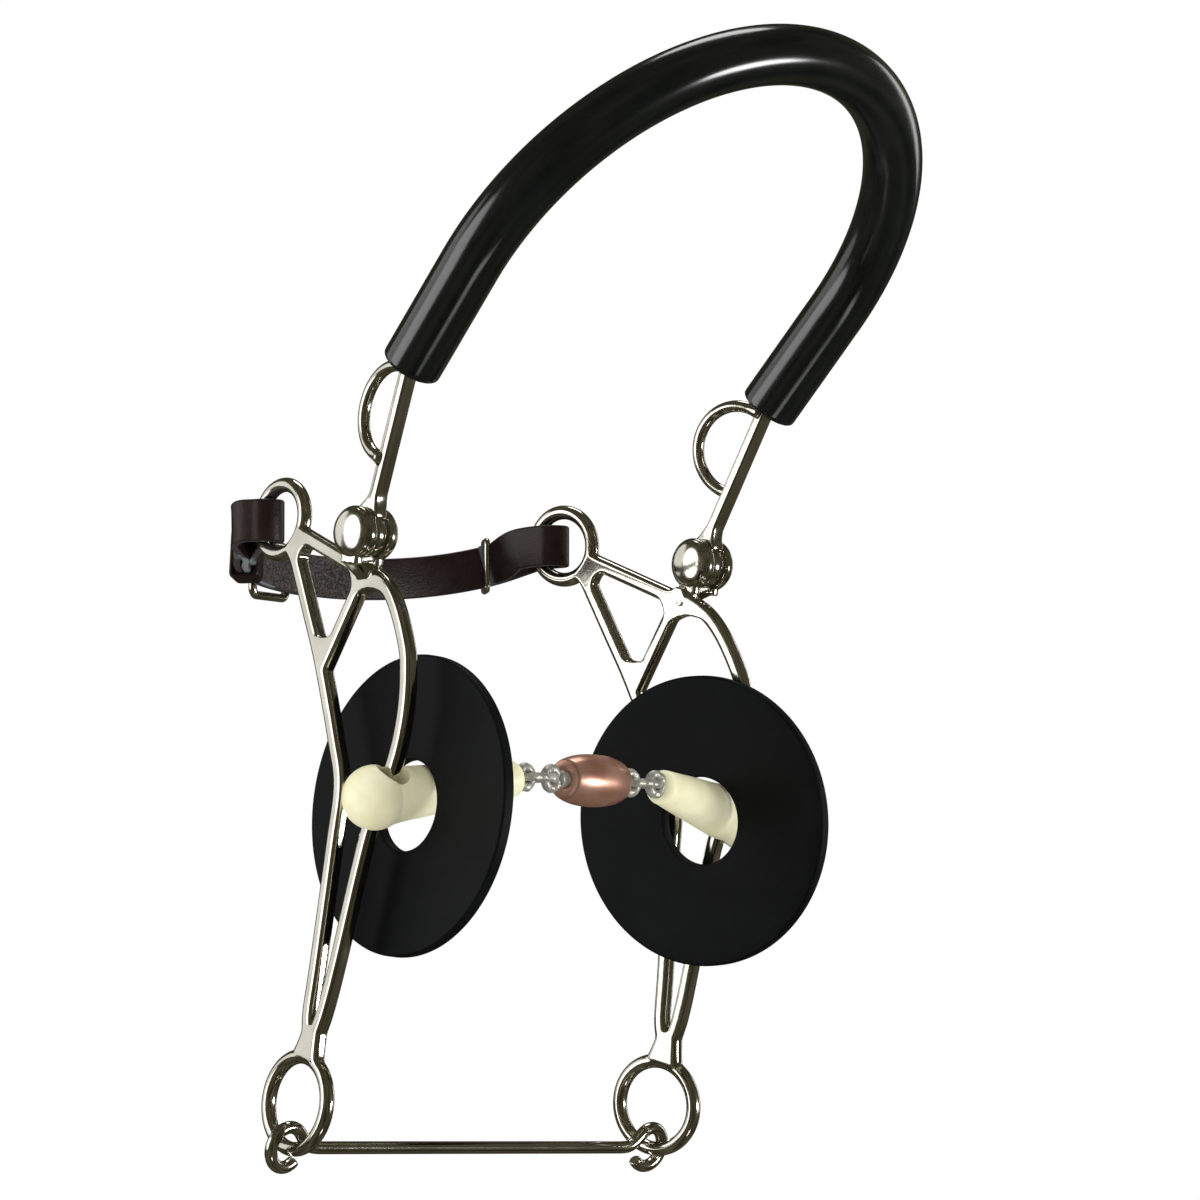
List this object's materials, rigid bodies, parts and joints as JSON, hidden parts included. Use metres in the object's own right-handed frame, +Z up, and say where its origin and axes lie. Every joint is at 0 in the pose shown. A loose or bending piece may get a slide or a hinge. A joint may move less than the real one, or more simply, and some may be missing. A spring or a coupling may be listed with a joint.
{
  "type": "hackamore bit",
  "caption": "Combination hackamore bit: rubber noseband on pivoting shank cheeks, curb strap, sliding jointed mouthpiece with copper roller, rubber guards and slobber bar.",
  "frame": {"origin": "middle of the line through the two arm pivots", "axes": "+X to the right-hand cheek, -Y towards the nose, +Y towards the chin, +Z up"},
  "size_m": [0.1808, 0.2069, 0.3313],
  "materials": {
    "tube_rubber": "glossy",
    "guard_rubber": "matt",
    "polished_steel": "polished",
    "core_steel": "plain",
    "cast_links": "as cast",
    "ivory": "smooth",
    "copper": "satin",
    "leather": "smooth"
  },
  "bodies": {
    "noseband": {"noseband_tube": "tube_rubber", "noseband_core": "core_steel", "left_arm": "polished_steel", "right_arm": "polished_steel", "left_dee": "polished_steel", "right_dee": "polished_steel"},
    "left_cheek": {"left_cheek": "polished_steel", "left_pivot_pin": "polished_steel"},
    "right_cheek": {"right_cheek": "polished_steel", "right_pivot_pin": "polished_steel"},
    "left_mouth": {"left_mouth_bar": "ivory", "left_bar_eye": "cast_links"},
    "right_mouth": {"right_mouth_bar": "ivory", "right_bar_eye": "cast_links"},
    "left_link": {"left_link": "cast_links"},
    "right_link": {"right_link": "cast_links"},
    "roller_rod": {"roller_rod": "cast_links"},
    "roller": {"copper_roller": "copper"},
    "left_guard": {"left_guard": "guard_rubber"},
    "right_guard": {"right_guard": "guard_rubber"},
    "slobber_bar": {"slobber_bar": "polished_steel"},
    "curb_strap": {"curb_strap": "leather", "left_ring_loop": "leather", "right_ring_loop": "leather", "strap_billet": "leather", "buckle_frame": "polished_steel", "metal_keeper": "polished_steel", "leather_keeper": "leather"},
    "buckle_prong": {"buckle_prong": "polished_steel"}
  },
  "joints": [
    {"name": "left_cheek_swing", "type": "hinge", "parent": "noseband", "child": "left_cheek", "pos_m": [-0.07465, 0, 0], "axis": [1, 0, 0], "range_deg": [-15, 50]},
    {"name": "right_cheek_swing", "type": "hinge", "parent": "noseband", "child": "right_cheek", "pos_m": [0.07465, 0, 0], "axis": [1, 0, 0], "range_deg": [-15, 50]},
    {"name": "left_mouth_slide", "type": "hinge", "parent": "left_cheek", "child": "left_mouth", "pos_m": [-0.06748, 0.03865, -0.04686], "axis": [-1, 0, 0], "range_deg": [0, 20]},
    {"name": "right_mouth_slide", "type": "hinge", "parent": "right_cheek", "child": "right_mouth", "pos_m": [0.06748, 0.03865, -0.04686], "axis": [-1, 0, 0], "range_deg": [0, 20]},
    {"name": "left_guard_spin", "type": "hinge", "parent": "left_mouth", "child": "left_guard", "pos_m": [-0.0646, -0.0089, -0.0789], "axis": [-0.9884, 0.1301, 0.0785], "continuous": true},
    {"name": "left_link_roll", "type": "hinge", "parent": "left_mouth", "child": "left_link", "pos_m": [-0.0232, -0.0209, -0.0696], "axis": [1, 0, 0], "range_deg": [-12, 12]},
    {"name": "right_guard_spin", "type": "hinge", "parent": "right_mouth", "child": "right_guard", "pos_m": [0.0646, -0.0089, -0.0789], "axis": [0.9884, 0.1301, 0.0785], "continuous": true},
    {"name": "right_link_roll", "type": "hinge", "parent": "right_mouth", "child": "right_link", "pos_m": [0.0232, -0.0209, -0.0696], "axis": [1, 0, 0], "range_deg": [-12, 12]},
    {"name": "rod_roll", "type": "hinge", "parent": "left_link", "child": "roller_rod", "pos_m": [-0.0175, -0.0209, -0.0696], "axis": [1, 0, 0], "range_deg": [-12, 12]},
    {"name": "roller_spin", "type": "hinge", "parent": "roller_rod", "child": "roller", "pos_m": [0, -0.0209, -0.0696], "axis": [1, 0, 0], "continuous": true},
    {"name": "slobber_swing", "type": "hinge", "parent": "left_cheek", "child": "slobber_bar", "pos_m": [-0.07896, 0.02241, -0.16449], "axis": [1, 0, 0], "range_deg": [-35, 35]},
    {"name": "strap_swing", "type": "hinge", "parent": "left_cheek", "child": "curb_strap", "pos_m": [-0.06226, 0.04553, 0.00748], "axis": [1, 0, 0], "range_deg": [-15, 45]},
    {"name": "prong_swing", "type": "hinge", "parent": "curb_strap", "child": "buckle_prong", "pos_m": [-0.03381, 0.08576, -0.00319], "axis": [0, 0, 1], "range_deg": [0, 70]}
  ],
  "couplings": [
    {"joint": "right_cheek_swing", "follows": "left_cheek_swing", "ratio": 1},
    {"joint": "right_mouth_slide", "follows": "left_mouth_slide", "ratio": 1}
  ]
}
